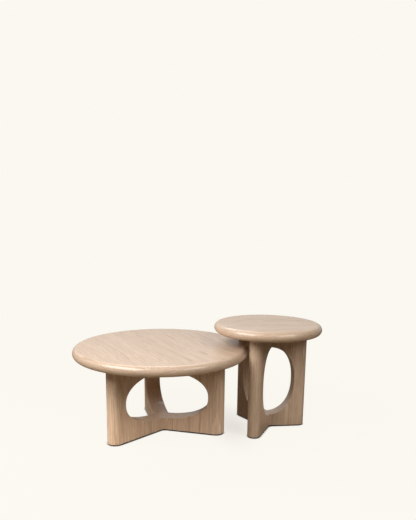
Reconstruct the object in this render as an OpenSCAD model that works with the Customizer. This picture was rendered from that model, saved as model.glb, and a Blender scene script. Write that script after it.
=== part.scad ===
// Nesting tables in washed oak: a low round coffee table and a taller, smaller side table whose
// top reaches over the coffee table's edge. Each stands on three upright C-shaped fins.
// Millimetres, +Z up, +X from the coffee table towards the side table.
// The origin is on the floor, in the middle of the nested pair's outline.

/* [Coffee table] */
// Diameter of the low table's round top
coffee_top_d = 900; // [800:5:1080]
// Height of the low table, floor to top surface
coffee_h = 452; // [390:1:480]
// Length of a low fin, middle of the base to its round outer edge
coffee_fin_len = 340; // [290:5:390]
// Thickness of a low fin
coffee_fin_t = 84; // [70:1:100]
// Width of the low fin's leg, outside its oval cut
coffee_leg_w = 77; // [60:1:95]
// Direction of the low table's first fin, in degrees from +X
coffee_turn = 101; // [95:1:105]
// Diameter of the low table's steel plate
coffee_plate_d = 200; // [185:5:240]
// Distance of the low table's top bolts from the middle
coffee_bolt_r = 78; // [74:1:82]

/* [Side table] */
// Diameter of the tall table's round top
side_top_d = 562; // [500:2:674]
// Height of the tall table, floor to top surface
side_h = 565; // [550:1:680]
// Length of a tall fin, middle of the base to its round outer edge
side_fin_len = 215; // [185:1:258]
// Thickness of a tall fin
side_fin_t = 67; // [56:1:75]
// Width of the tall fin's leg, outside its oval cut
side_leg_w = 68; // [56:1:82]
// Direction of the tall table's first fin, in degrees from +X
side_turn = 1; // [-5:1:5]
// Diameter of the tall table's steel plate
side_plate_d = 160; // [150:5:190]
// Distance of the tall table's top bolts from the middle
side_bolt_r = 61; // [58:1:64]

/* [Shared wood sizes] */
// Thickness of both tops; their edge is a half round of this height
top_t = 50; // [42:1:60]
// Height of the wood below the oval cut, in the middle of the base
foot_rail_h = 64; // [56:1:78]
// Height of the wood above the oval cut, in the middle of the base
head_rail_h = 76; // [64:1:90]
// Squareness of the oval cut: 2 is an ellipse, more is fuller in the corners
cut_power = 2.3; // [2:0.05:2.8]
// Gap between the low top's edge and the nearest tall leg when nested
nest_gap = 7; // [5:1:40]

/* [Loose tenons] */
// Thickness of a loose tenon
tenon_t = 10; // [8:1:12]
// Width of a loose tenon, along the height of the rail
tenon_w = 40; // [30:1:48]
// Length of a loose tenon, half of it in each fin
tenon_len = 32; // [24:1:36]
// Wood between a tenon and the outer corner where two fins meet
tenon_cover = 12; // [10:1:16]
// Glue gap between a tenon and its mortise
glue_gap = 0.1; // [0.05:0.05:0.3]

/* [Steel plate and fasteners] */
// Thickness of the steel plate let into the top of the base
plate_t = 4; // [3:0.5:6]
// Gap between the plate and the recess it lies in
plate_gap = 0.5; // [0.3:0.1:1]
// Shank diameter of a wood screw
screw_d = 4.5; // [4:0.5:6]
// Head diameter of a wood screw
screw_head_d = 9; // [8:0.5:11]
// Length of a wood screw, head included
screw_len = 36; // [25:1:45]
// Distance of the outer wood screw from the plate's edge
screw_edge = 20; // [15:1:25]
// Spacing of the two wood screws along a fin
screw_pitch = 34; // [30:1:38]
// Thread diameter of a top bolt
bolt_d = 6; // [5:1:8]
// Head diameter of a top bolt
bolt_head_d = 11; // [10:0.5:14]
// Head height of a top bolt
bolt_head_h = 4; // [3:0.5:6]
// Hexagon socket across its flats
bolt_socket = 4; // [3:0.5:5]
// Length of a top bolt's thread
bolt_len = 18; // [14:1:22]
// Diameter of the hole in the plate for a top bolt
bolt_hole_d = 7; // [6.5:0.5:9]
// Outer diameter of a threaded insert
insert_d = 10; // [9:0.5:13]
// Depth of a threaded insert
insert_h = 15; // [12:1:20]
// Depth of the blind bore above the insert
insert_relief = 3; // [2:1:6]
// Outer diameter of a washer
washer_d = 18; // [15:1:20]
// Thickness of a washer
washer_t = 1.5; // [1:0.1:2]

/* [Foot pads] */
// Thickness of the pad under each fin
pad_t = 4; // [2:0.5:6]
// Distance of a pad's edge inside the fin's outline
pad_inset = 5; // [4:1:12]

/* [Hidden] */
$fn = 96;
FIN_STEP = 120;                 // three fins, evenly round
CUT_POINTS = 96;                // points round the whole oval cut
OVER = 1;                       // how far a cutting shape runs past the face it opens
CROSS_W = 1.2;                  // width of a wood screw's cross slots
CROSS_SHARE = 0.6;              // the slots' length as a share of the head

coffee_r = coffee_top_d / 2;
side_r = side_top_d / 2;
end_turn = 60 - abs(side_turn);                        // the tall leg nearest the low table, from -X
end_x = (side_fin_len - side_fin_t / 2) * cos(end_turn);   // its round edge's middle, from the tall
end_y = (side_fin_len - side_fin_t / 2) * sin(end_turn);   // table's middle
end_reach = coffee_r + side_fin_t / 2 + nest_gap;
axis_gap = end_x + sqrt(end_reach * end_reach - end_y * end_y);   // between the two tables' middles
mid_x = (axis_gap + side_r - coffee_r) / 2;            // middle of the outline, from the low table
coffee_x = -mid_x;
side_x = axis_gap - mid_x;
coffee_base_h = coffee_h - top_t;                      // underside of each top
side_base_h = side_h - top_t;
screw_x_gap = screw_edge + screw_pitch;

// ---- Where things go ----

// Puts its children at the low table's middle, turned with its first fin
module at_coffee() translate([coffee_x, 0, 0]) rotate(coffee_turn) children();

// Puts its children at the tall table's middle, turned with its first fin
module at_side() translate([side_x, 0, 0]) rotate(side_turn) children();

// Repeats its children in the three directions of the fins
module each_fin() for (k = [0:2]) rotate(k * FIN_STEP) children();

// Repeats its children in the three directions halfway between the fins
module each_gap() for (k = [0:2]) rotate((k + 0.5) * FIN_STEP) children();

// ---- Shapes that both tables share ----

function signed_power(v, e) = sign(v) * pow(abs(v), e);

// Half width of the hub where two fins meet, from a fin's middle line
function hub_inner(t) = t / 2 / tan(60);

// Round top: a slab with a half-round edge, bored from below for the threaded inserts
module round_top(r, base_h, bolt_r) {
  edge = top_t / 2;
  difference() {
    translate([0, 0, base_h])
      rotate_extrude()
        union() {
          square([r - edge, top_t]);
          translate([r - edge, edge])
            intersection() {
              circle(edge);
              translate([0, -top_t]) square([top_t, 2 * top_t]);
            }
        }
    each_gap()
      translate([bolt_r, 0, base_h - OVER])
        cylinder(h = insert_h + insert_relief + OVER, d = insert_d);
  }
}

// Plan of one fin: mitred to 120 degrees in the middle, straight sides, half-round outer edge
module fin_plan(len, t, inset = 0) {
  half = t / 2 - inset;
  tip = inset / sin(60);
  straight = len - t / 2;
  polygon([
    [tip, 0], [tip + hub_inner(2 * half), -half], [straight, -half],
    [straight, half], [tip + hub_inner(2 * half), half]
  ]);
  translate([straight, 0])
    intersection() {
      circle(half);
      translate([0, -t]) square([t, 2 * t]);
    }
}

// Outline of the oval cut: a superellipse centred on the table's axis
module oval(half_w, half_h) {
  e = 2 / cut_power;
  polygon([
    for (i = [0:CUT_POINTS - 1])
      let (a = 360 * i / CUT_POINTS)
        [half_w * signed_power(cos(a), e), half_h * signed_power(sin(a), e)]
  ]);
}

// One loose tenon on the joint between two fins, at height z; grow widens it into its mortise
module tenon(t, z, grow = 0) {
  half_w = tenon_w / 2 - tenon_t / 2;
  len = tenon_len + 2 * grow;
  reach = t / sqrt(3) - tenon_cover - tenon_t / 2;
  translate([reach, len / 2, z])
    rotate([90, 0, 0])
      linear_extrude(len)
        union() {
          translate([-tenon_t / 2 - grow, -half_w]) square([tenon_t + 2 * grow, 2 * half_w]);
          for (s = [-1, 1]) translate([0, s * half_w]) circle(d = tenon_t + 2 * grow);
        }
}

// Heights of the tenons' middles, in the lower and the upper rail
function foot_z() = pad_t + foot_rail_h / 2;
function head_z(base_h) = base_h - plate_t - (head_rail_h - plate_t) / 2;

// One C-shaped fin along +X: oval cut, mortises on both mitres, recess and pilots for the plate
module fin(len, t, leg_w, base_h, plate_d) {
  cut_low = pad_t + foot_rail_h;
  cut_high = base_h - head_rail_h;
  difference() {
    translate([0, 0, pad_t]) linear_extrude(base_h - pad_t) fin_plan(len, t);
    translate([0, t / 2 + OVER, (cut_low + cut_high) / 2])
      rotate([90, 0, 0])
        linear_extrude(t + 2 * OVER) oval(len - leg_w, (cut_high - cut_low) / 2);
    for (s = [-1, 1], z = [foot_z(), head_z(base_h)])
      rotate(s * FIN_STEP / 2) tenon(t, z, glue_gap);
    translate([0, 0, base_h - plate_t])
      cylinder(h = plate_t + OVER, d = plate_d + 2 * plate_gap);
    plate_screw_places(plate_d)
      translate([0, 0, base_h - screw_len]) cylinder(h = screw_len, d = screw_d);
  }
}

// Puts its children at the two wood screws of the fin along +X
module plate_screw_places(plate_d)
  for (x = [plate_d / 2 - screw_x_gap, plate_d / 2 - screw_edge]) translate([x, 0, 0]) children();

// Round steel plate with countersunk holes over the fins and plain holes between them
module plate(base_h, plate_d, bolt_r) {
  head_h = (screw_head_d - screw_d) / 2;
  difference() {
    translate([0, 0, base_h - plate_t]) cylinder(h = plate_t, d = plate_d);
    each_fin()
      plate_screw_places(plate_d) {
        translate([0, 0, base_h - plate_t - OVER]) cylinder(h = plate_t + 2 * OVER, d = screw_d);
        translate([0, 0, base_h - head_h]) cylinder(h = head_h, d1 = screw_d, d2 = screw_head_d);
      }
    each_gap()
      translate([bolt_r, 0, base_h - plate_t - OVER])
        cylinder(h = plate_t + 2 * OVER, d = bolt_hole_d);
  }
}

// One countersunk wood screw pointing down, its head flush at height z, with a cross recess
module wood_screw(z) {
  head_h = (screw_head_d - screw_d) / 2;
  point_h = screw_d;
  slot = screw_head_d * CROSS_SHARE;
  difference() {
    union() {
      translate([0, 0, z - head_h]) cylinder(h = head_h, d1 = screw_d, d2 = screw_head_d);
      translate([0, 0, z - screw_len + point_h]) cylinder(h = screw_len - point_h - head_h, d = screw_d);
      translate([0, 0, z - screw_len]) cylinder(h = point_h, d1 = 0, d2 = screw_d);
    }
    translate([-slot / 2, -CROSS_W / 2, z - CROSS_W]) cube([slot, CROSS_W, CROSS_W + OVER]);
    translate([-CROSS_W / 2, -slot / 2, z - CROSS_W]) cube([CROSS_W, slot, CROSS_W + OVER]);
  }
}

// The six wood screws of one plate
module plate_screws(base_h, plate_d)
  each_fin() plate_screw_places(plate_d) wood_screw(base_h);

// The three threaded inserts, flush with the top's underside
module inserts(base_h, bolt_r)
  each_gap()
    translate([bolt_r, 0, base_h])
      difference() {
        cylinder(h = insert_h, d = insert_d);
        translate([0, 0, -OVER]) cylinder(h = insert_h + 2 * OVER, d = bolt_d);
      }

// The three bolts, put in from below through washer and plate into the inserts
module bolts(base_h, bolt_r)
  each_gap()
    translate([bolt_r, 0, base_h - plate_t - washer_t])
      difference() {
        union() {
          cylinder(h = bolt_len, d = bolt_d);
          translate([0, 0, -bolt_head_h]) cylinder(h = bolt_head_h, d = bolt_head_d);
        }
        translate([0, 0, -bolt_head_h - OVER])
          cylinder(h = bolt_head_h / 2 + OVER, d = bolt_socket / cos(30), $fn = 6);
      }

// The three washers between the bolts' heads and the plate
module washers(base_h, bolt_r)
  each_gap()
    translate([bolt_r, 0, base_h - plate_t - washer_t])
      difference() {
        cylinder(h = washer_t, d = washer_d);
        translate([0, 0, -OVER]) cylinder(h = washer_t + 2 * OVER, d = bolt_hole_d);
      }

// Three loose tenons, one on each joint between two fins
module tenons(t, z) each_gap() tenon(t, z);

// The pad under one fin, set in from its outline
module pad(len, t) linear_extrude(pad_t) fin_plan(len, t, pad_inset);

// ---- Low coffee table ----

module coffee_fin(k)
  at_coffee() rotate(k * FIN_STEP)
    fin(coffee_fin_len, coffee_fin_t, coffee_leg_w, coffee_base_h, coffee_plate_d);

module coffee_pad(k) at_coffee() rotate(k * FIN_STEP) pad(coffee_fin_len, coffee_fin_t);

module coffee_top()
  color([0.80, 0.69, 0.58]) at_coffee() round_top(coffee_r, coffee_base_h, coffee_bolt_r);
module coffee_fin_a() color([0.69, 0.57, 0.45]) coffee_fin(0);
module coffee_fin_b() color([0.71, 0.58, 0.46]) coffee_fin(1);
module coffee_fin_c() color([0.67, 0.55, 0.43]) coffee_fin(2);
module coffee_foot_tenons() color([0.78, 0.66, 0.50]) at_coffee() tenons(coffee_fin_t, foot_z());
module coffee_head_tenons()
  color([0.78, 0.66, 0.50]) at_coffee() tenons(coffee_fin_t, head_z(coffee_base_h));
module coffee_plate()
  color([0.15, 0.15, 0.16]) at_coffee() plate(coffee_base_h, coffee_plate_d, coffee_bolt_r);
module coffee_plate_screws()
  color([0.75, 0.70, 0.52]) at_coffee() plate_screws(coffee_base_h, coffee_plate_d);
module coffee_inserts()
  color([0.78, 0.64, 0.34]) at_coffee() inserts(coffee_base_h, coffee_bolt_r);
module coffee_bolts() color([0.20, 0.20, 0.22]) at_coffee() bolts(coffee_base_h, coffee_bolt_r);
module coffee_washers()
  color([0.62, 0.63, 0.65]) at_coffee() washers(coffee_base_h, coffee_bolt_r);
module coffee_pad_a() color([0.10, 0.09, 0.08]) coffee_pad(0);
module coffee_pad_b() color([0.10, 0.09, 0.08]) coffee_pad(1);
module coffee_pad_c() color([0.10, 0.09, 0.08]) coffee_pad(2);

// ---- Tall side table ----

module side_fin(k)
  at_side() rotate(k * FIN_STEP)
    fin(side_fin_len, side_fin_t, side_leg_w, side_base_h, side_plate_d);

module side_pad(k) at_side() rotate(k * FIN_STEP) pad(side_fin_len, side_fin_t);

module side_top() color([0.79, 0.68, 0.57]) at_side() round_top(side_r, side_base_h, side_bolt_r);
module side_fin_a() color([0.70, 0.57, 0.45]) side_fin(0);
module side_fin_b() color([0.68, 0.56, 0.44]) side_fin(1);
module side_fin_c() color([0.72, 0.59, 0.47]) side_fin(2);
module side_foot_tenons() color([0.78, 0.66, 0.50]) at_side() tenons(side_fin_t, foot_z());
module side_head_tenons()
  color([0.78, 0.66, 0.50]) at_side() tenons(side_fin_t, head_z(side_base_h));
module side_plate() color([0.15, 0.15, 0.16]) at_side() plate(side_base_h, side_plate_d, side_bolt_r);
module side_plate_screws()
  color([0.75, 0.70, 0.52]) at_side() plate_screws(side_base_h, side_plate_d);
module side_inserts() color([0.78, 0.64, 0.34]) at_side() inserts(side_base_h, side_bolt_r);
module side_bolts() color([0.20, 0.20, 0.22]) at_side() bolts(side_base_h, side_bolt_r);
module side_washers() color([0.62, 0.63, 0.65]) at_side() washers(side_base_h, side_bolt_r);
module side_pad_a() color([0.10, 0.09, 0.08]) side_pad(0);
module side_pad_b() color([0.10, 0.09, 0.08]) side_pad(1);
module side_pad_c() color([0.10, 0.09, 0.08]) side_pad(2);

// ---- What is drawn ----

coffee_top();
coffee_fin_a();
coffee_fin_b();
coffee_fin_c();
coffee_foot_tenons();
coffee_head_tenons();
coffee_plate();
coffee_plate_screws();
coffee_inserts();
coffee_bolts();
coffee_washers();
coffee_pad_a();
coffee_pad_b();
coffee_pad_c();
side_top();
side_fin_a();
side_fin_b();
side_fin_c();
side_foot_tenons();
side_head_tenons();
side_plate();
side_plate_screws();
side_inserts();
side_bolts();
side_washers();
side_pad_a();
side_pad_b();
side_pad_c();
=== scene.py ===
# %% [markdown]
# # Nesting tables in washed oak
# A low round coffee table and a taller side table whose top reaches over the low one's edge.
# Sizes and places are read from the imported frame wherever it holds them, so the wood is shaped
# around the same solids that the motion model uses. This first cell loads that frame and keeps
# its box.

# %% Load the frame
import math

import bmesh
import bpy
import numpy as np
from mathutils import Matrix, Vector


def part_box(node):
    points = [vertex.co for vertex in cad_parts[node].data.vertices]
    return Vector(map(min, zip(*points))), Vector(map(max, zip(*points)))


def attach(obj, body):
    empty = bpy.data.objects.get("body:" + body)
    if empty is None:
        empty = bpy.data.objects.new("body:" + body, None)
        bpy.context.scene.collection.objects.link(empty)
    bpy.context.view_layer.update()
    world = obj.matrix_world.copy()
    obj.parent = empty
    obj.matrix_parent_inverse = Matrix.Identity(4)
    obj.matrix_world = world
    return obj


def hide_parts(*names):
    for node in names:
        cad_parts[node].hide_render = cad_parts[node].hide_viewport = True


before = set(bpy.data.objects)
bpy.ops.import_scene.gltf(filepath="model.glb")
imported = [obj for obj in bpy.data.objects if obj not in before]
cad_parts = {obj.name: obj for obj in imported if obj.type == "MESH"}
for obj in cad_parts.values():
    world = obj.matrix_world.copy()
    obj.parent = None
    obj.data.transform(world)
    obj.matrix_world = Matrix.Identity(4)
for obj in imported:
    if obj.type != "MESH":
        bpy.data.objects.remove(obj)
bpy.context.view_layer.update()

# %% [markdown]
# ## Where each table stands
# Both tables are built on an upright axis with three fins evenly round it. The top's box gives
# the axis. A fin is the same on both sides of its own plane, so the centre of its surface lies in
# that plane and gives the fin's direction. These two facts place everything else.

# %% Find the axes and the fins' directions
TABLES = ("coffee", "side")
FIN_STEP = 120.0


def middle_of(table):
    """The table's upright axis, from the box of its round top."""
    low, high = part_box(table + "_top")
    return Vector(((low.x + high.x) / 2, (low.y + high.y) / 2, 0.0))


def first_direction(table):
    """Direction of the first fin from +X, to a tenth of a degree: its faces' mean centre, by area."""
    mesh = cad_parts[table + "_fin_a"].data
    centres = np.zeros(len(mesh.polygons) * 3)
    areas = np.zeros(len(mesh.polygons))
    mesh.polygons.foreach_get("center", centres)
    mesh.polygons.foreach_get("area", areas)
    middle = areas @ centres.reshape(-1, 3) / areas.sum() - np.array(middle_of(table))
    return round(math.degrees(math.atan2(middle[1], middle[0])), 1)


FIRST_FIN = {table: first_direction(table) for table in TABLES}
print("first fins point to", FIRST_FIN)

# %% [markdown]
# ## Sizes of the fins
# A fin is measured in its own direction: along it (r), across it (s) and up (z). The heights at
# which the fin is cut on the axis give its two rails, and the wall halfway up gives the cut's width.

# %% Measure the fins
SLICE = 0.002          # how near a point must lie to count as on a plane


def fin_turn(table, letter):
    """The turn of one fin round its table's axis, in radians."""
    return math.radians(FIRST_FIN[table] + FIN_STEP * "abc".index(letter))


def fin_points(table, letter):
    """All points of a fin as (r, s, z): along the fin, across it and up."""
    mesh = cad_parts[f"{table}_fin_{letter}"].data
    points = np.zeros(len(mesh.vertices) * 3)
    mesh.vertices.foreach_get("co", points)
    points = points.reshape(-1, 3) - np.array(middle_of(table))
    turn = fin_turn(table, letter)
    along = points[:, 0] * math.cos(turn) + points[:, 1] * math.sin(turn)
    across = -points[:, 0] * math.sin(turn) + points[:, 1] * math.cos(turn)
    return np.stack([along, across, points[:, 2]], 1)


def measure_fin(table):
    """Sizes of a table's fins, read from the points of the first one."""
    p = fin_points(table, "a")
    floor, head = p[:, 2].min(), p[:, 2].max()
    length, thick = p[:, 0].max(), p[:, 1].max() - p[:, 1].min()
    on_axis = np.unique(np.round(p[np.abs(p[:, 0]) < SLICE / 4, 2], 5))
    inside = on_axis[(on_axis > floor + 10 * SLICE) & (on_axis < head - 10 * SLICE)]
    middle = (inside[0] + inside[-1]) / 2
    wall = p[(np.abs(p[:, 2] - middle) < SLICE) & (p[:, 0] < length - thick / 2)]
    return {"floor": floor, "head": head, "length": length, "thick": thick,
            "cut_low": inside[0], "cut_high": inside[-1], "cut_half": wall[:, 0].max()}


sizes = {table: measure_fin(table) for table in TABLES}
for table, size in sizes.items():
    print(table, {name: round(float(value), 4) for name, value in size.items()})

# %% [markdown]
# ## Camera
# A camera is a place, three turns and a lens. It stands in front of the low table, about a metre
# above the floor, and looks a little down and to the right. Its lens is shifted up, so that the
# tables sit low in a tall frame, as in a catalogue, without turning the camera up.

# %% Camera
EYE_FROM_LOW_TABLE = Vector((-0.0031, -2.5505, 1.0348))
LOOK_DOWN = 10.82
LOOK_RIGHT = 5.51
ROLL = 0.73
LENS_MM = 34.64
LENS_SHIFT = 0.1283

camera_data = bpy.data.cameras.new("camera")
camera_data.lens = LENS_MM
camera_data.shift_y = LENS_SHIFT
camera = bpy.data.objects.new("camera", camera_data)
bpy.context.scene.collection.objects.link(camera)
camera.matrix_world = (
    Matrix.Translation(middle_of("coffee") + EYE_FROM_LOW_TABLE)
    @ Matrix.Rotation(math.radians(-LOOK_RIGHT), 4, "Z")
    @ Matrix.Rotation(math.radians(90 - LOOK_DOWN), 4, "X")
    @ Matrix.Rotation(math.radians(ROLL), 4, "Z")
)
bpy.context.scene.camera = camera
print("camera at", [round(v, 3) for v in camera.matrix_world.translation])

# %% [markdown]
# ## Shader helpers
# Materials are trees of small nodes. A few short helpers keep the trees readable: one adds a node
# and sets its values, one joins two sockets, and the others stand for one sum or one texture each.

# %% Node helpers


def add_node(tree, kind, inputs=None, **settings):
    """A new node of that kind, with settings on the node and values on its named inputs."""
    node = tree.nodes.new(kind)
    for name, value in settings.items():
        setattr(node, name, value)
    for name, value in (inputs or {}).items():
        node.inputs[name].default_value = value
    return node


def join(tree, source, target):
    """Lead one node's output into another node's input."""
    tree.links.new(source, target)


def math_node(tree, operation, first, second=None, third=None):
    """The result of one sum: each argument is a number or another node's output."""
    node = add_node(tree, "ShaderNodeMath", operation=operation)
    for slot, value in enumerate((first, second, third)):
        if value is None:
            continue
        if isinstance(value, (int, float)):
            node.inputs[slot].default_value = value
        else:
            join(tree, value, node.inputs[slot])
    return node.outputs[0]


def noise(tree, vector, scale, detail=2.0, rough=0.5):
    """The value of a noise texture, from 0 to 1."""
    node = add_node(tree, "ShaderNodeTexNoise", {"Scale": scale, "Detail": detail, "Roughness": rough})
    join(tree, vector, node.inputs["Vector"])
    return node.outputs["Fac"]


def scaled(tree, vector, factors):
    """The vector with each of its parts times its own factor."""
    node = add_node(tree, "ShaderNodeVectorMath", operation="MULTIPLY")
    node.inputs[1].default_value = factors
    join(tree, vector, node.inputs[0])
    return node.outputs[0]


def smooth_step(tree, value, low, high):
    """0 at low, 1 at high, and a smooth rise between them; low may be the larger of the two."""
    node = add_node(
        tree, "ShaderNodeMapRange", {"From Min": low, "From Max": high}, interpolation_type="SMOOTHSTEP")
    join(tree, value, node.inputs["Value"])
    return node.outputs["Result"]


# %% [markdown]
# ## Starting a material or a group
# Every material begins with an empty tree and ends with one link to its surface. A node group is a
# tree of its own with named sockets, so that many materials can share it.

# %% Material and group helpers


def new_material(name):
    """A material with an empty tree of nodes."""
    material = bpy.data.materials.new(name)
    material.use_nodes = True
    material.node_tree.nodes.clear()
    return material, material.node_tree


def close_material(tree, shader):
    """Lead the last shader to the material's surface."""
    out = add_node(tree, "ShaderNodeOutputMaterial")
    join(tree, shader, out.inputs["Surface"])


def new_group(name, inputs, outputs):
    """A shader node group with float or vector inputs (name, kind, value) and outputs (name, kind)."""
    tree = bpy.data.node_groups.new(name, "ShaderNodeTree")
    for label, kind, value in inputs:
        socket = tree.interface.new_socket(label, in_out="INPUT", socket_type=kind)
        if value is not None:
            socket.default_value = value
    for label, kind in outputs:
        tree.interface.new_socket(label, in_out="OUTPUT", socket_type=kind)
    return tree, tree.nodes.new("NodeGroupInput"), tree.nodes.new("NodeGroupOutput")


# %% [markdown]
# ## Oak as a solid
# Real oak shows stripes on a face and rings on an end because both are cuts through the same
# tree. So the grain is worked out in three dimensions: Z runs along the grain, and rings lie
# round a pith line that passes outside the board. Boards are glued side by side from narrow
# staves, each cut from another place in the tree, so every stave gets its own pith and tone.
# An image of wood would show the same stripes on faces and ends; this gives each cut its own.
#
# Each kind of mark is a noise that is stretched along the grain. Its first three numbers say how
# often it repeats in a metre: twice across the board, and once along it. Then come the noise's
# detail and roughness, and the two values of it between which the mark fades in.

# %% Marks in the wood
MARKS = {
    "streak": ((110.0, 110.0, 3.2), 3.0, 0.65, 0.34, 0.66),
    "tick": ((330.0, 330.0, 15.0), 1.0, 0.5, 0.50, 0.68),
    "fleck": ((230.0, 230.0, 6.0), 1.0, 0.5, 0.60, 0.74),
    "pore": ((1500.0, 1500.0, 70.0), 1.0, 0.4, 0.58, 0.70),
}
BENDS = (                     # slow bends and small ripples of the trunk; the last number is their depth
    ((9.0, 9.0, 1.1), 3.0, 0.55, 0.060),
    ((45.0, 45.0, 5.0), 2.0, 0.5, 0.0025),
)


def mark(tree, vector, kind):
    """Mask of one kind of mark, from 0 to 1."""
    repeats, detail, rough, low, high = MARKS[kind]
    return smooth_step(tree, noise(tree, scaled(tree, vector, repeats), 1.0, detail, rough), low, high)


print("marks in the wood:", ", ".join(MARKS))

# %% [markdown]
# ## Staves and rings
# A stave's number picks three random values: one shifts its pith aside, one sets how deep the pith
# lies, and one sets its tone. A ring's distance from the pith, divided by the ring spacing, counts
# the years. Most years leave a faint line and a few a strong one, so each year gets its own
# strength.

# %% Staves and rings
PITH_ASIDE = 0.16             # how widely the pith's place varies from stave to stave
PITH_BELOW = 0.05
SPRING = 0.12                 # share of a year by which its ring is darkest, and by which it has faded
SUMMER = 0.75
FAINTEST_YEAR = 0.15
YEAR_POWER = 1.6              # the higher, the fewer strong years


def stave_dice(tree, source, place):
    """The number of the stave that a point lies in, and three random numbers that go with it."""
    widths = math_node(tree, "DIVIDE", place.outputs["X"], source.outputs["Stave width"])
    stave = math_node(tree, "FLOOR", widths)
    key = add_node(tree, "ShaderNodeCombineXYZ")
    join(tree, stave, key.inputs["X"])
    join(tree, source.outputs["Seed"], key.inputs["Y"])
    dice = add_node(tree, "ShaderNodeTexWhiteNoise", noise_dimensions="3D")
    join(tree, key.outputs[0], dice.inputs["Vector"])
    return stave, dice.outputs["Color"]


def pith_distance(tree, source, place, stave, roll):
    """How far a point is from its stave's pith: the root of the squares aside and below."""
    width = source.outputs["Stave width"]
    centre = math_node(tree, "MULTIPLY", math_node(tree, "ADD", stave, 0.5), width)
    aside = math_node(tree, "MULTIPLY", math_node(tree, "SUBTRACT", roll.outputs[0], 0.5), PITH_ASIDE)
    across = math_node(tree, "SUBTRACT", math_node(tree, "SUBTRACT", place.outputs["X"], centre), aside)
    below = math_node(tree, "MULTIPLY_ADD", roll.outputs[1], PITH_BELOW, source.outputs["Pith depth"])
    up = math_node(tree, "ADD", place.outputs["Y"], below)
    squares = math_node(tree, "ADD", math_node(tree, "MULTIPLY", across, across),
                        math_node(tree, "MULTIPLY", up, up))
    return math_node(tree, "SQRT", squares)


def growth_rings(tree, years):
    """Ring mask: dark spring wood rises fast and fades slowly, and each year has its own strength."""
    turn = math_node(tree, "FRACT", years)
    rise = smooth_step(tree, turn, 0.0, SPRING)
    fade = smooth_step(tree, turn, SUMMER, SPRING)
    rings = math_node(tree, "MULTIPLY", rise, fade)
    year = add_node(tree, "ShaderNodeTexWhiteNoise", noise_dimensions="1D")
    join(tree, math_node(tree, "FLOOR", years), year.inputs["W"])
    strong = math_node(tree, "POWER", year.outputs["Value"], YEAR_POWER)
    strength = math_node(tree, "MULTIPLY_ADD", strong, 1 - FAINTEST_YEAR, FAINTEST_YEAR)
    return math_node(tree, "MULTIPLY", rings, strength)


# %% [markdown]
# ## One group for every board
# The marks come together in a node group, which is built once and used by all eight oak pieces.
# It puts out masks only. Each material turns them into its own colours, so the same tree can be
# washed paler or left darker without touching the grain.

# %% Oak grain group
STAVE_SLIDE = 7.0             # how far apart along the tree two staves may be cut, in metres
STREAK_SHARE = 0.6            # how much streaks and ticks count in the streak mask
TICK_SHARE = 0.7
SPRING_PORES = 0.8            # share of the pores that lie only in spring wood
PORE_DEPTH = 0.8
RING_DEPTH = 0.25


def build_oak_grain():
    """Masks of one oak board from its own coordinates: rings, streaks, pores, flecks, tone and height."""
    number = "NodeSocketFloat"
    tree, source, sink = new_group(
        "Oak grain",
        [("Vector", "NodeSocketVector", None), ("Stave width", number, 0.1), ("Ring spacing", number, 0.004),
         ("Pith depth", number, 0.12), ("Seed", number, 0.0)],
        [("Rings", number), ("Streaks", number), ("Pores", number), ("Flecks", number),
         ("Stave tone", number), ("Height", number)],
    )
    place = add_node(tree, "ShaderNodeSeparateXYZ")
    join(tree, source.outputs["Vector"], place.inputs[0])
    stave, dice = stave_dice(tree, source, place)
    roll = add_node(tree, "ShaderNodeSeparateColor")
    join(tree, dice, roll.inputs[0])

    # each stave is cut from another place: slide it along the tree
    slide = add_node(tree, "ShaderNodeVectorMath", operation="MULTIPLY_ADD")
    join(tree, dice, slide.inputs[0])
    slide.inputs[1].default_value = (0.0, 0.0, STAVE_SLIDE)
    join(tree, source.outputs["Vector"], slide.inputs[2])
    moved = slide.outputs[0]

    # rings round the pith, pushed about by the bends of the trunk
    distance = pith_distance(tree, source, place, stave, roll)
    for repeats, detail, rough, depth in BENDS:
        push = noise(tree, scaled(tree, moved, repeats), 1.0, detail, rough)
        distance = math_node(tree, "MULTIPLY_ADD", push, depth, distance)
    rings = growth_rings(tree, math_node(tree, "DIVIDE", distance, source.outputs["Ring spacing"]))

    # broad streaks of darker wood, and short ticks where pores crowd together
    streaks = math_node(tree, "MULTIPLY", mark(tree, moved, "streak"), STREAK_SHARE)
    streaks = math_node(tree, "MULTIPLY_ADD", mark(tree, moved, "tick"), TICK_SHARE, streaks)

    # pale flecks: thin bright lines along the grain where the wash stayed in the wood
    flecks = mark(tree, moved, "fleck")

    # pores: short dark slits along the grain, dots on an end, mostly in the spring wood
    where = math_node(tree, "MULTIPLY_ADD", rings, SPRING_PORES, 1 - SPRING_PORES)
    pores = math_node(tree, "MULTIPLY", mark(tree, moved, "pore"), where)

    height = math_node(tree, "MULTIPLY", rings, -RING_DEPTH)
    height = math_node(tree, "MULTIPLY_ADD", pores, -PORE_DEPTH, height)
    for name, value in (("Rings", rings), ("Streaks", streaks), ("Pores", pores), ("Flecks", flecks),
                        ("Stave tone", roll.outputs[2]), ("Height", height)):
        join(tree, value, sink.inputs[name])
    return tree


oak_grain = build_oak_grain()
print("oak grain group:", len(oak_grain.nodes), "nodes")
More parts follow.
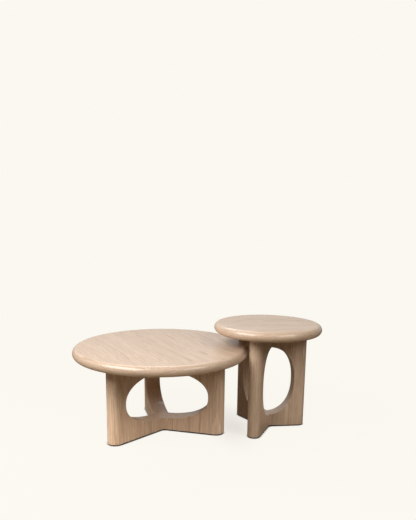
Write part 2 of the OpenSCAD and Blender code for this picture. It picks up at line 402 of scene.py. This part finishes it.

# %% [markdown]
# ## Washed and lacquered oak
# The finish is a thin pale wash that stays in the low spots, under a satin lacquer. The masks from
# the grain group mix colours in layers: two tones of pale wood, then streaks, rings, flecks and
# pores. The lacquer is the shader's own coat, so it gives the soft white line along the round
# edges. Near the floor the fins get painted light, most of all the low table's: their colour is
# multiplied by a number that grows from 1 towards the foot, as the lower fins lie out of the tops'
# shade. That keeps the grain clear there, where a mix with one pale colour would wash it out.

# %% Oak colours and layers
OAK = {"pale": (0.555, 0.408, 0.298), "warm": (0.525, 0.382, 0.272), "streak": (0.40, 0.268, 0.175),
       "ring": (0.30, 0.185, 0.110), "pore": (0.15, 0.085, 0.045), "fleck": (0.78, 0.64, 0.50)}
FLECK_SHARE = 0.42
PORE_SHARE = 0.75
FOOT_TOP = 0.38               # the heights between which the painted light at the foot fades out, in metres
FOOT_LOW = 0.02
SATIN = 0.46                  # roughness of the wood between its rings
RING_ROUGHER = 0.10
GRAIN_DEPTH = 0.0006
LACQUER = {"Coat Weight": 0.60, "Coat Roughness": 0.20, "IOR": 1.45}


def mix_colour(tree, factor, first, second):
    """first where the factor is 0 and second where it is 1; colours are tuples or outputs."""
    node = add_node(tree, "ShaderNodeMix", data_type="RGBA")
    join(tree, factor, node.inputs[0])
    # inputs 6 and 7 are the two colours of this node, and output 2 is the mixed one
    for slot, value in ((6, first), (7, second)):
        if isinstance(value, tuple):
            node.inputs[slot].default_value = (*value, 1.0)
        else:
            join(tree, value, node.inputs[slot])
    return node.outputs[2]


def layer(tree, wood, mask, share, colour):
    """The wood with a share of the colour wherever the mask is 1."""
    return mix_colour(tree, math_node(tree, "MULTIPLY", mask, share), wood, colour)


def painted_foot_light(tree, wood, board, share):
    """Painted light: the wood's colour times 1 + share near Z = 0, falling smoothly to 1 at FOOT_TOP."""
    height = add_node(tree, "ShaderNodeSeparateXYZ")
    join(tree, board, height.inputs[0])
    low = smooth_step(tree, height.outputs["Z"], FOOT_TOP, FOOT_LOW)
    paler = add_node(tree, "ShaderNodeVectorMath", operation="SCALE")
    join(tree, wood, paler.inputs[0])
    join(tree, math_node(tree, "MULTIPLY_ADD", low, share, 1.0), paler.inputs["Scale"])
    return paler.outputs[0]


print("oak colours:", ", ".join(OAK))

# %% [markdown]
# ## The oak material
# A mapping node gives each board its own frame: where it lies and which way its grain runs. The
# group's masks are layered there from the broadest mark to the finest. The same masks make spring
# wood a little rougher and pores a little deeper, so that the finish follows the grain as well.

# %% Oak material


def oak_material(name, place, turns, seed, stave, ring, figure, streak, foot_painted_light=0.0):
    """Oak whose grain runs along the mapped Z: place and turns (degrees) set the board's own frame.

    stave and ring are the widths of staves and rings. figure and streak are how strongly rings
    and streaks show. The last argument is the share of painted light by which the wood gets paler towards Z
    = 0.
    """
    material, tree = new_material(name)
    coords = add_node(tree, "ShaderNodeTexCoord")
    board = add_node(
        tree, "ShaderNodeMapping",
        {"Location": place, "Rotation": [math.radians(a) for a in turns]}, vector_type="TEXTURE")
    join(tree, coords.outputs["Object"], board.inputs["Vector"])
    grain = add_node(tree, "ShaderNodeGroup", node_tree=oak_grain)
    join(tree, board.outputs[0], grain.inputs["Vector"])
    grain.inputs["Stave width"].default_value = stave
    grain.inputs["Ring spacing"].default_value = ring
    grain.inputs["Seed"].default_value = seed

    wood = mix_colour(tree, grain.outputs["Stave tone"], OAK["pale"], OAK["warm"])
    wood = layer(tree, wood, grain.outputs["Streaks"], streak, OAK["streak"])
    wood = layer(tree, wood, grain.outputs["Rings"], figure, OAK["ring"])
    wood = layer(tree, wood, grain.outputs["Flecks"], FLECK_SHARE, OAK["fleck"])
    wood = layer(tree, wood, grain.outputs["Pores"], PORE_SHARE, OAK["pore"])
    # painted light: the fins' colour brightens towards the floor, below the tops' shade
    if foot_painted_light:
        wood = painted_foot_light(tree, wood, board.outputs[0], foot_painted_light)

    bump = add_node(tree, "ShaderNodeBump", {"Strength": 0.35, "Distance": GRAIN_DEPTH})
    join(tree, grain.outputs["Height"], bump.inputs["Height"])
    shader = add_node(tree, "ShaderNodeBsdfPrincipled", LACQUER)
    join(tree, wood, shader.inputs["Base Color"])
    join(tree, math_node(tree, "MULTIPLY_ADD", grain.outputs["Rings"], RING_ROUGHER, SATIN),
         shader.inputs["Roughness"])
    join(tree, bump.outputs[0], shader.inputs["Normal"])
    close_material(tree, shader.outputs[0])
    return material


# %% [markdown]
# ## Surfaces from grids
# Every new piece is one or more grids of points, each worked out as whole arrays from two
# parameters. A grid of m by n points becomes (m-1) by (n-1) four-sided faces. Grids that share an
# edge compute it with the same formula, so their points coincide and one weld makes the piece
# watertight.

# %% Grid helpers
WELD = 2e-5                   # points nearer than this become one
SLIVER = 1e-6                 # edges shorter than this are taken out
SHARP_ANGLE = 35.0            # degrees between two faces from which their edge stays crisp


def grid_faces(rows, columns, start=0, closed=False):
    """Four-sided faces between the points of a rows x columns grid, as indices from start."""
    i = np.arange(rows - 1)[:, None]
    j = np.arange(columns if closed else columns - 1)[None, :]
    k = (j + 1) % columns
    quads = np.stack([i * columns + j, i * columns + k, (i + 1) * columns + k, (i + 1) * columns + j], -1)
    return (quads.reshape(-1, 4) + start).tolist()


def piece_from(name, grids, caps=(), closed=False):
    """One object from point grids (rows, columns, 3) and flat caps (n, 3), welded, facing outwards."""
    points, faces = [], []
    count = 0
    for grid in grids:
        faces += grid_faces(grid.shape[0], grid.shape[1], count, closed)
        points.append(grid.reshape(-1, 3))
        count += grid.shape[0] * grid.shape[1]
    for cap in caps:
        faces.append(list(range(count, count + len(cap))))
        points.append(cap)
        count += len(cap)
    mesh = bpy.data.meshes.new(name)
    mesh.from_pydata(np.concatenate(points).tolist(), [], faces)
    work = bmesh.new()
    work.from_mesh(mesh)
    bmesh.ops.remove_doubles(work, verts=work.verts, dist=WELD)
    bmesh.ops.dissolve_degenerate(work, edges=work.edges, dist=SLIVER)
    bmesh.ops.recalc_face_normals(work, faces=work.faces)
    open_edges = sum(1 for edge in work.edges if len(edge.link_faces) != 2)
    work.to_mesh(mesh)
    work.free()
    mesh.polygons.foreach_set("use_smooth", np.ones(len(mesh.polygons), bool))
    mesh.set_sharp_from_angle(angle=math.radians(SHARP_ANGLE))
    piece = bpy.data.objects.new(name, mesh)
    bpy.context.scene.collection.objects.link(piece)
    print(name, len(mesh.polygons), "faces,", open_edges, "open edges")
    return piece


# %% [markdown]
# ## Round tops
# Each top is a thick disc with a full half-round edge, as a turner would describe it: a profile
# spun round an axis. Spinning a profile with numpy needs one outer product, and the rows can be
# crowded where the flat meets the round so that the shine changes smoothly there.

# %% Make the tops
ROUND_STEPS = 224
EDGE_STEPS = 28
FLAT_ROWS = np.array([0.02, 0.2, 0.4, 0.6, 0.8, 0.93, 0.98, 0.995])     # shares of the flat's radius


def top_surface(table):
    """Spin of the edge profile: distance from the axis times (cosine, sine) of the turn, and its height.

    The profile runs from the middle of the underside along the flat, round half a circle whose
    radius is half the thickness, and back along the flat top to the middle.
    """
    low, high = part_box(table + "_top")
    middle = middle_of(table)
    radius = (high.x - low.x) / 2
    edge = (high.z - low.z) / 2
    flat = (radius - edge) * FLAT_ROWS
    swing = np.linspace(-np.pi / 2, np.pi / 2, EDGE_STEPS + 1)
    reach = np.concatenate([flat, radius - edge + edge * np.cos(swing), flat[::-1]])
    rise = np.concatenate([0 * flat - 1, np.sin(swing), 0 * flat + 1])
    height = rise * edge + (low.z + high.z) / 2
    turn = np.linspace(0, 2 * np.pi, ROUND_STEPS, endpoint=False)
    return np.stack([
        middle.x + np.outer(reach, np.cos(turn)),
        middle.y + np.outer(reach, np.sin(turn)),
        np.repeat(height[:, None], ROUND_STEPS, 1),
    ], -1)


tops = {}
for table in TABLES:
    grid = top_surface(table)
    tops[table] = piece_from(table + "_top_oak", [grid], caps=[grid[0], grid[-1]], closed=True)

# %% [markdown]
# ## C-shaped fins
# A fin is a thick board with a half-round outer edge and a big oval cut through it. Its edges are
# eased by a small round so that they catch light. A boolean cut and a bevel would do it, but grids
# give even faces: one band of faces runs round the oval from the lower rail, up the leg and into
# the upper rail. The oval is a little squarer than an ellipse, so the leg keeps a nearly even width.
# In the middle of the base each fin ends in two faces at 60 degrees that meet its neighbours.

# %% The oval cut
CUT_POWER = 2.3               # 2 would be a plain ellipse
EASED = 0.0035                # radius of the small round on the edges
RAIL_STEPS = 26
LEG_STEPS = 40
CORNER = math.pi / 4          # where the rail's part of the band ends and the leg's begins
MITRE = math.sqrt(3)          # on a mitre face: distance across the fin for each unit along it


def oval_point(angle, size):
    """Point (r, z) of the oval and its outward direction: cosine and sine raised to 2/power, sign kept."""
    half_w = size["cut_half"]
    half_h = (size["cut_high"] - size["cut_low"]) / 2
    middle = (size["cut_high"] + size["cut_low"]) / 2
    c, s = np.cos(angle), np.sin(angle)
    x = np.sign(c) * np.abs(c) ** (2 / CUT_POWER)
    y = np.sign(s) * np.abs(s) ** (2 / CUT_POWER)
    nx = np.sign(x) * np.abs(x) ** (CUT_POWER - 1) / half_w
    ny = np.sign(y) * np.abs(y) ** (CUT_POWER - 1) / half_h
    long = np.hypot(nx, ny)
    return half_w * x, middle + half_h * y, nx / long, ny / long


def band_angles(across, size):
    """Angles round the oval, one row per step: rail, leg, rail; they start and end on the mitre faces."""
    start = np.arccos((np.abs(across) / MITRE / size["cut_half"]) ** (CUT_POWER / 2))
    rail = np.linspace(0, 1, RAIL_STEPS + 1)[:, None]
    leg = np.linspace(-CORNER, CORNER, LEG_STEPS + 1)[1:-1, None] + 0 * across
    return np.concatenate([-start + (start - CORNER) * rail, leg, CORNER + (start - CORNER) * rail])


def ring_row(across, offset, size):
    """Points (r, s, z) a distance offset outside the oval, at the given distances across the fin."""
    across = np.atleast_1d(np.asarray(across, float))
    r, z, nr, nz = oval_point(band_angles(across, size), size)
    r, z = r + offset * nr, z + offset * nz
    r[0] = r[-1] = np.abs(across) / MITRE
    return np.stack([r, across + 0 * r, z], -1)


for table, size in sizes.items():
    wide, high = 2 * size["cut_half"], size["cut_high"] - size["cut_low"]
    print(table, "oval cut:", round(float(wide), 3), "m wide and", round(float(high), 3), "m high")

# %% [markdown]
# ## Flat faces and their eased edges
# On the real board a router rounds the edge of the cut on both sides. Here that round is a quarter
# circle swept along the band. The flat face then spans from the round to the board's own outline.
# Both have the same number of points, so each pair is joined by a straight line, with rows crowded
# at its two ends, where the shine changes fastest.

# %% Flat faces
EASE_STEPS = 5
QUARTER = np.linspace(0, np.pi / 2, EASE_STEPS + 1)
FACE_ROWS = np.array([0, 0.004, 0.02, 0.08, 0.25, 0.5, 0.75, 0.92, 0.985, 1.0])


def outer_row(size):
    """The flat face's outer outline, step by step with the band: floor line, upright line, head line."""
    straight = size["length"] - size["thick"] / 2
    hub = size["thick"] / 2 / MITRE
    low, high = size["floor"] + EASED, size["head"]
    rail = np.linspace(hub, straight, RAIL_STEPS + 1)
    leg = np.linspace(low, high, LEG_STEPS + 1)
    r = np.concatenate([rail, np.full(LEG_STEPS - 1, straight), rail[::-1]])
    z = np.concatenate([np.full(RAIL_STEPS + 1, low), leg[1:-1], np.full(RAIL_STEPS + 1, high)])
    return r, z


def eases_and_faces(size):
    """Grids of the cut's eased edges and of the flat faces, one of each for both sides of the fin.

    At the turn a, the quarter round lies EASED sin(a) nearer the flat face than the wall does, and
    EASED (1 - cos(a)) outside the oval.
    """
    half = size["thick"] / 2
    outline_r, outline_z = outer_row(size)
    step = FACE_ROWS[None, :, None]
    eases, faces = [], []
    for side in (-1, 1):
        rows = [ring_row(side * (half - EASED + EASED * math.sin(a)), EASED * (1 - math.cos(a)), size)[:, 0]
                for a in QUARTER]
        outer = np.stack([outline_r, np.full_like(outline_r, side * half), outline_z], -1)
        eases.append(np.stack(rows, 1))
        faces.append(rows[-1][:, None] * (1 - step) + outer[:, None] * step)
    return eases, faces


print("points of one flat face:", eases_and_faces(sizes["coffee"])[1][0].shape[:2])

# %% [markdown]
# ## Outer edge and underside
# The outer edge is a full half round, the same at every height, so light slides down it in one
# line. Along the floor the whole outline turns under by the small round, which keeps the foot from
# chipping and leaves the dark line over the pad.

# %% Outer edge and underside
END_STEPS = 32
HALF_TURN = np.linspace(-np.pi / 2, np.pi / 2, END_STEPS + 1)


def outer_edge(size):
    """Half the thickness times the cosine and sine of a half turn, at each height of the leg."""
    half = size["thick"] / 2
    straight = size["length"] - half
    heights = np.linspace(size["floor"] + EASED, size["head"], LEG_STEPS + 1)
    return np.stack(np.broadcast_arrays(
        straight + half * np.cos(HALF_TURN)[None, :],
        half * np.sin(HALF_TURN)[None, :],
        heights[:, None]), -1)


def plan_row(size, inset):
    """Plan outline (r, s) drawn in by inset: along one side, round the end and back along the other."""
    half = size["thick"] / 2
    straight = size["length"] - half
    rail = np.linspace(half / MITRE, straight, RAIL_STEPS + 1)
    rail[0] = (half - inset) / MITRE
    r = np.concatenate([rail[:-1], straight + (half - inset) * np.cos(HALF_TURN), rail[::-1][1:]])
    side = np.concatenate([np.full(RAIL_STEPS, -1.0), np.sin(HALF_TURN), np.ones(RAIL_STEPS)])
    return r, side * (half - inset)


def under_edge(size):
    """The plan outline drawn in along a quarter round as it turns under towards the floor."""
    rows = []
    for a in QUARTER:
        r, s = plan_row(size, EASED * (1 - math.cos(a)))
        rows.append(np.stack([r, s, np.full_like(r, size["floor"] + EASED * (1 - math.sin(a)))], -1))
    return np.stack(rows, 1)


print("points of one outer edge:", outer_edge(sizes["coffee"]).shape[:2])

# %% [markdown]
# ## Closing and placing the fins
# The flat ends close the board: its underside, its head against the top, and the mitre faces,
# which are glued to the neighbours. Each is one face whose points come from the grids round it, so
# nothing gapes. One fin is worked out per table and then turned into its three places, just as a
# workshop cuts three alike from one template.

# %% Make the fins
WALL_STEPS = 8                # even, so that one row of the wall lies on the fin's middle


def fin_caps(size, wall, eases, faces, under):
    """Flat caps as rows of points: underside, head and the four mitre faces."""
    tip_floor = np.array([[0, 0, size["floor"]]])
    tip_head = np.array([[0, 0, size["head"]]])
    r, s = plan_row(size, 0.0)
    head = np.stack([r, s, np.full_like(r, size["head"])], -1)
    caps = [np.concatenate([under[:, -1], tip_floor]), np.concatenate([head, tip_head])]
    for side, ease, face, foot in zip((-1, 1), eases, faces, (under[0], under[-1])):
        half_wall = wall[:, WALL_STEPS // 2::side]
        caps.append(np.concatenate([half_wall[0], ease[0][1:], face[0][1:], foot[1:], tip_floor]))
        caps.append(np.concatenate([half_wall[-1], ease[-1][1:], face[-1][1:], tip_head]))
    return caps


def fin_surface(size):
    """Grids and caps of one fin lying along +r, as (r, s, z) points."""
    wall_s = np.linspace(-1, 1, WALL_STEPS + 1) * (size["thick"] / 2 - EASED)
    wall = ring_row(wall_s, 0.0, size)
    eases, faces = eases_and_faces(size)
    under = under_edge(size)
    grids = [wall, *eases, *faces, outer_edge(size), under]
    return grids, fin_caps(size, wall, eases, faces, under)


def turned(points, table, letter):
    """(r, s, z) points placed in the room: turned to the fin's direction and moved to the table's axis."""
    turn = fin_turn(table, letter)
    middle = middle_of(table)
    x = points[..., 0] * math.cos(turn) - points[..., 1] * math.sin(turn) + middle.x
    y = points[..., 0] * math.sin(turn) + points[..., 1] * math.cos(turn) + middle.y
    return np.stack([x, y, points[..., 2]], -1)


fins = {}
for table in TABLES:
    grids, caps = fin_surface(sizes[table])
    for letter in "abc":
        fins[table, letter] = piece_from(
            f"{table}_fin_{letter}_oak",
            [turned(grid, table, letter) for grid in grids],
            [turned(cap, table, letter) for cap in caps])

# %% [markdown]
# ## Dressing the wood
# A top's boards lie flat, so the mapping first lays the grain down and then turns it in the plane
# of the top. A fin's boards stand upright, turned with the fin. Each piece has its own seed, so no
# two pieces repeat.

# %% Oak on tops and fins
GRAIN_TURN = {"coffee": 24.0, "side": 97.0}        # degrees round the table's axis
TOP_GRAIN = {"stave": 0.118, "ring": 0.0060, "figure": 0.75, "streak": 0.42}
FIN_GRAIN = {"stave": 0.092, "ring": 0.0070, "streak": 0.72}
FIN_FIGURE = {"coffee": 0.8, "side": 0.6}
# painted light: how much brighter each table's fins are painted towards the floor
FOOT_PAINTED_LIGHT = {"coffee": 0.62, "side": 0.08}
TOP_SEED = 11.0
FIN_SEED = 31.0


def place_of(table, height=0.0):
    """The point on a table's axis at that height."""
    middle = middle_of(table)
    return (middle.x, middle.y, height)


for number, (table, top) in enumerate(tops.items()):
    face_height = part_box(table + "_top")[1].z
    top.data.materials.append(oak_material(
        f"washed oak {table} top", place_of(table, face_height), (90, 0, GRAIN_TURN[table]),
        TOP_SEED + number, **TOP_GRAIN))
for number, ((table, letter), fin) in enumerate(fins.items()):
    turn = FIRST_FIN[table] + FIN_STEP * "abc".index(letter)
    fin.data.materials.append(oak_material(
        f"washed oak {table} fin {letter}", place_of(table), (0, 0, turn),
        FIN_SEED + number, figure=FIN_FIGURE[table], foot_painted_light=FOOT_PAINTED_LIGHT[table], **FIN_GRAIN))
print("oak on", len(tops), "tops and", len(fins), "fins")

# %% [markdown]
# ## Hardware and feet
# The steel plate, screws, inserts, bolts and washers keep the frame's own meshes. They only need
# finishes: black powder coat has a fine orange-peel bump, zinc and brass are metals with a brushed
# roughness, and the foot pads are dark felt, which is rough and slightly uneven in tone.

# %% Hardware materials
ROUGH_SPREAD = 0.1            # how far the roughness runs to both sides of its middle


def simple_material(name, colour, second, scale, rough, metallic=0.0, bump=0.0002, stretch=(1, 1, 1)):
    """A finish whose tone and gloss vary with a fine noise between two colours.

    scale is how often the noise repeats in a metre, and stretch multiplies it along each axis. rough
    is the middle roughness, and bump is the height of the relief in metres.
    """
    material, tree = new_material(name)
    coords = add_node(tree, "ShaderNodeTexCoord")
    value = noise(tree, scaled(tree, coords.outputs["Object"], stretch), scale, 3.0, 0.6)
    shader = add_node(tree, "ShaderNodeBsdfPrincipled", {"Metallic": metallic})
    join(tree, mix_colour(tree, value, colour, second), shader.inputs["Base Color"])
    gloss = math_node(tree, "MULTIPLY_ADD", value, 2 * ROUGH_SPREAD, rough - ROUGH_SPREAD)
    join(tree, gloss, shader.inputs["Roughness"])
    relief = add_node(tree, "ShaderNodeBump", {"Strength": 0.4, "Distance": bump})
    join(tree, value, relief.inputs["Height"])
    join(tree, relief.outputs[0], shader.inputs["Normal"])
    close_material(tree, shader.outputs[0])
    return material


finishes = {
    "plate": simple_material("black powder coat", (0.030, 0.030, 0.032), (0.045, 0.045, 0.047), 900.0, 0.55),
    "plate_screws": simple_material("yellow zinc", (0.62, 0.55, 0.36), (0.55, 0.50, 0.38), 600.0, 0.35, 1.0),
    "inserts": simple_material("turned brass", (0.72, 0.54, 0.26), (0.62, 0.45, 0.20), 500.0, 0.32, 1.0,
                               stretch=(1, 1, 6)),
    "bolts": simple_material("black oxide", (0.035, 0.035, 0.040), (0.055, 0.055, 0.060), 700.0, 0.40, 0.6),
    "washers": simple_material("bright zinc", (0.62, 0.63, 0.65), (0.52, 0.53, 0.56), 700.0, 0.30, 1.0),
    "pads": simple_material("dark felt", (0.020, 0.017, 0.014), (0.045, 0.038, 0.032), 1200.0, 0.95,
                            bump=0.0006),
    "tenons": simple_material("planed beech", (0.60, 0.43, 0.28), (0.52, 0.36, 0.22), 300.0, 0.60,
                              stretch=(1, 1, 0.1)),
}

# %% [markdown]
# ## Dressing the hardware
# The beech tenons that lock the fins together are plain planed wood, since no one sees them. Each
# frame piece is looked up by its name and gets its finish; the mesh stays as it is.

# %% Dress the hardware


def dress(node, material):
    """Give a frame node its finish: the mesh stays, only its material changes."""
    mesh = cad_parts[node].data
    mesh.materials.clear()
    mesh.materials.append(material)


for table in TABLES:
    for part in ("plate", "plate_screws", "inserts", "bolts", "washers"):
        dress(f"{table}_{part}", finishes[part])
    for part in ("foot_tenons", "head_tenons"):
        dress(f"{table}_{part}", finishes["tenons"])
    for letter in "abc":
        dress(f"{table}_pad_{letter}", finishes["pads"])
print(len(finishes), "hardware finishes")

# %% [markdown]
# ## Studio floor
# In a studio such tables stand on a pale sheet that runs up behind them and is lit a little too
# bright, so that no horizon is left. Here it is a wide flat disc whose material is set apart for
# the camera and for the light, which keeps both easy to tune.

# %% Floor piece
FLOOR_RADIUS = 9.0
FLOOR_STEPS = 96
FLOOR_RINGS = 24
FLOOR_START = 0.02            # share of the steps at which the first ring lies


def floor_piece():
    """A flat disc: rings of points whose radius grows with the square of the step."""
    reach = np.linspace(FLOOR_START, 1, FLOOR_RINGS) ** 2 * FLOOR_RADIUS
    turn = np.linspace(0, 2 * np.pi, FLOOR_STEPS, endpoint=False)
    grid = np.stack([np.outer(reach, np.cos(turn)), np.outer(reach, np.sin(turn)),
                     np.zeros((FLOOR_RINGS, FLOOR_STEPS))], -1)
    mesh = bpy.data.meshes.new("studio_floor")
    faces = grid_faces(FLOOR_RINGS, FLOOR_STEPS, 0, True) + [list(range(FLOOR_STEPS))]
    mesh.from_pydata(grid.reshape(-1, 3).tolist(), [], faces)
    piece = bpy.data.objects.new("studio_floor", mesh)
    bpy.context.scene.collection.objects.link(piece)
    return piece


floor = floor_piece()
print("floor of", len(floor.data.polygons), "faces,", FLOOR_RADIUS, "m in radius")

# %% [markdown]
# ## Floor as the light meets it
# To the light it is a mid-toned floor near the tables, which throws a little warm light up under
# the tops and rails. It is dim further off and in reflections, so the lacquer doesn't mirror a
# bright floor.

# %% Floor for the light
FLOOR_BOUNCE = (0.40, 0.33, 0.245)
FLOOR_DIM = (0.12, 0.09, 0.06)
BOUNCE_NEAR = 0.9             # metres between which the thrown light fades out
BOUNCE_FAR = 1.6


def floor_for_light(tree, far, glossy):
    """A matt floor that is mid-toned near the tables, and dim further off or to a glossy ray."""
    spread = smooth_step(tree, far, BOUNCE_FAR, BOUNCE_NEAR)
    spread = math_node(tree, "MULTIPLY", spread, math_node(tree, "SUBTRACT", 1.0, glossy))
    matt = add_node(tree, "ShaderNodeBsdfDiffuse")
    join(tree, mix_colour(tree, spread, FLOOR_DIM, FLOOR_BOUNCE), matt.inputs["Color"])
    return matt.outputs[0]


# %% [markdown]
# ## Shade between the tables
# The strip of floor between the two bases is the one place where a soft shade shows. An oval round
# the point midway between them marks it: a point's distance is measured in shares of the oval's
# half width and half depth, so 1 lies on its edge.

# %% Shade strip
SHADE_WIDE = 0.16             # half sizes of the oval, in metres
SHADE_DEEP = 0.42
SHADE_FULL = 0.1              # share of them at which the shade is full


def length_of(tree, vector):
    """The length of a vector."""
    node = add_node(tree, "ShaderNodeVectorMath", operation="LENGTH")
    join(tree, vector, node.inputs[0])
    return node.outputs["Value"]


def between_tables():
    """The point on the floor midway between the low table's right fin and the tall table's back fin."""
    return ((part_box("coffee_fin_c")[1].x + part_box("side_fin_b")[0].x) / 2, 0.0, 0.0)


def shade_strip(tree, place):
    """1 between the tables and 0 outside an oval round that point."""
    offset = add_node(tree, "ShaderNodeVectorMath", operation="SUBTRACT")
    join(tree, place, offset.inputs[0])
    offset.inputs[1].default_value = between_tables()
    shares = scaled(tree, offset.outputs[0], (1 / SHADE_WIDE, 1 / SHADE_DEEP, 0.0))
    return smooth_step(tree, length_of(tree, shares), 1.0, SHADE_FULL)


print("shade round X =", round(between_tables()[0], 3))

# %% [markdown]
# ## Floor as the camera meets it
# To the camera the floor shows the surround's own colour. Only in the thin gap under a foot is a
# painted shade laid on it, black where ambient occlusion finds the floor closed in. A small share of a matt
# floor under it takes the tables' real shade, most of all in the strip between them.

# %% Floor for the camera
SURROUND = (0.964, 0.938, 0.875)
FLOOR_SEEN = (0.80, 0.78, 0.74)
GLOW_SHARE = 0.97             # how much of the floor near the tables is the surround's own colour
GLOW_NEAR = 0.8               # metres between which that share rises to the whole
GLOW_FAR = 1.8
SHADE_SHARE = 0.23            # how much more of the matt floor shows between the tables
GAP_REACH = 0.022             # how near a piece must be to darken the floor under it, in metres
GAP_DARK = 0.36               # openness at which the painted shade is black, and at which it is gone
GAP_CLEAR = 0.74


def mix_shaders(tree, share, first, second):
    """The first shader where the share is 0 and the second where it is 1."""
    node = add_node(tree, "ShaderNodeMixShader")
    for slot, value in enumerate((share, first, second)):
        join(tree, value, node.inputs[slot])
    return node.outputs[0]


def floor_for_camera(tree, place, far):
    """The surround's colour with painted shade, black in gaps, mixed with a matt floor that takes real
    shade.
    """
    # painted shade: the glow goes black where the floor is closed in under a foot
    gap = add_node(tree, "ShaderNodeAmbientOcclusion", {"Distance": GAP_REACH}, samples=8)
    clear = smooth_step(tree, gap.outputs["AO"], GAP_DARK, GAP_CLEAR)
    glow = add_node(tree, "ShaderNodeEmission", {"Strength": 1.0})
    join(tree, mix_colour(tree, clear, (0.0, 0.0, 0.0), SURROUND), glow.inputs["Color"])
    matt = add_node(tree, "ShaderNodeBsdfDiffuse", {"Color": (*FLOOR_SEEN, 1.0)})
    fade = smooth_step(tree, far, GLOW_NEAR, GLOW_FAR)
    share = math_node(tree, "MULTIPLY_ADD", fade, 1 - GLOW_SHARE, GLOW_SHARE)
    share = math_node(tree, "MULTIPLY_ADD", shade_strip(tree, place), -SHADE_SHARE, share)
    return mix_shaders(tree, share, matt.outputs[0], glow.outputs[0])


# %% [markdown]
# ## Floor material
# The two sides come together by the kind of ray: a camera ray meets the one, and every other ray
# meets the other. Both measure how far a point is from the middle of the scene.

# %% Floor material


def floor_material():
    """The floor for the camera where the camera looks, and the floor for the light elsewhere."""
    material, tree = new_material("studio floor")
    coords = add_node(tree, "ShaderNodeTexCoord")
    path = add_node(tree, "ShaderNodeLightPath")
    far = length_of(tree, coords.outputs["Object"])
    lit = floor_for_light(tree, far, path.outputs["Is Glossy Ray"])
    seen = floor_for_camera(tree, coords.outputs["Object"], far)
    close_material(tree, mix_shaders(tree, path.outputs["Is Camera Ray"], lit, seen))
    print("floor material:", len(tree.nodes), "nodes")
    return material


floor.data.materials.append(floor_material())

# %% [markdown]
# ## Lights
# Three soft boxes do the modelling. The large key at the left draws the white line along the round
# edges. A warm fill at the front right opens the shaded sides of the legs. A cool strip behind
# gives the tops a pale sheen. Area lights are the plain counterpart of a studio's cloth boxes.

# %% Soft boxes
LIGHT_DISTANCE = 3.2
LIGHT_AIM = Vector((0.0, 0.0, 0.35))      # a point a little above the tables' middle


def soft_box(name, direction, height_angle, width, depth, power, colour):
    """A rectangular light that faces the tables from a direction round them and an angle above the floor."""
    around, above = math.radians(direction), math.radians(height_angle)
    arm = Vector((math.cos(above) * math.cos(around), math.cos(above) * math.sin(around), math.sin(above)))
    light = bpy.data.lights.new(name, "AREA")
    light.shape = "RECTANGLE"
    light.size = width
    light.size_y = depth
    light.energy = power
    light.color = colour
    lamp = bpy.data.objects.new(name, light)
    bpy.context.scene.collection.objects.link(lamp)
    turn = (-arm).to_track_quat("-Z", "Y").to_matrix().to_4x4()
    lamp.matrix_world = Matrix.Translation(LIGHT_AIM + LIGHT_DISTANCE * arm) @ turn
    print(name, "at", [round(v, 2) for v in lamp.matrix_world.translation])


soft_box("left key", 213, 42, 2.6, 1.6, 145.0, (1.0, 0.995, 0.98))
soft_box("right fill", 310, 38, 1.8, 1.4, 50.0, (1.0, 0.98, 0.95))
soft_box("back strip", 100, 50, 2.2, 1.2, 30.0, (0.94, 0.97, 1.0))

# %% [markdown]
# ## Surround
# The bright backdrop is the surround itself. The camera sees it in one even colour, the same as the
# floor's, and the tables are lit by it only from behind, as they would be by a backdrop. A dome of
# even light would flatten the fins.

# %% Surround
BACKDROP_START = 0.1          # how far a direction points back (its Y) when the light begins and is full
BACKDROP_FULL = 0.8
BACKDROP_LIGHT = 0.60
BACKDROP_COLOUR = (1.0, 0.99, 0.97)


def surround_world():
    """The surround: its own colour to the camera, and bright only behind the tables for the light."""
    world = bpy.data.worlds.new("studio surround")
    world.use_nodes = True
    tree = world.node_tree
    tree.nodes.clear()
    coords = add_node(tree, "ShaderNodeTexCoord")
    parts = add_node(tree, "ShaderNodeSeparateXYZ")
    join(tree, coords.outputs["Generated"], parts.inputs[0])
    behind = smooth_step(tree, parts.outputs["Y"], BACKDROP_START, BACKDROP_FULL)
    light = add_node(tree, "ShaderNodeBackground", {"Color": (*BACKDROP_COLOUR, 1.0)})
    join(tree, math_node(tree, "MULTIPLY", behind, BACKDROP_LIGHT), light.inputs["Strength"])
    seen = add_node(tree, "ShaderNodeBackground", {"Color": (*SURROUND, 1.0), "Strength": 1.0})
    path = add_node(tree, "ShaderNodeLightPath")
    out = add_node(tree, "ShaderNodeOutputWorld")
    join(tree, mix_shaders(tree, path.outputs["Is Camera Ray"], light.outputs[0], seen.outputs[0]),
         out.inputs["Surface"])
    return world


bpy.context.scene.world = surround_world()
bpy.context.scene.view_settings.view_transform = "Standard"
print("surround", SURROUND)

# %% [markdown]
# ## Joining looks to motion
# The new oak pieces stand for the frame's tops and fins and ride on the same two bodies, so the
# tall table slides out whole.

# %% Ride and replace
BODY = {"coffee": "coffee_table", "side": "side_table"}
for table, top in tops.items():
    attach(top, BODY[table])
    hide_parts(table + "_top")
for (table, letter), fin in fins.items():
    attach(fin, BODY[table])
    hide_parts(f"{table}_fin_{letter}")
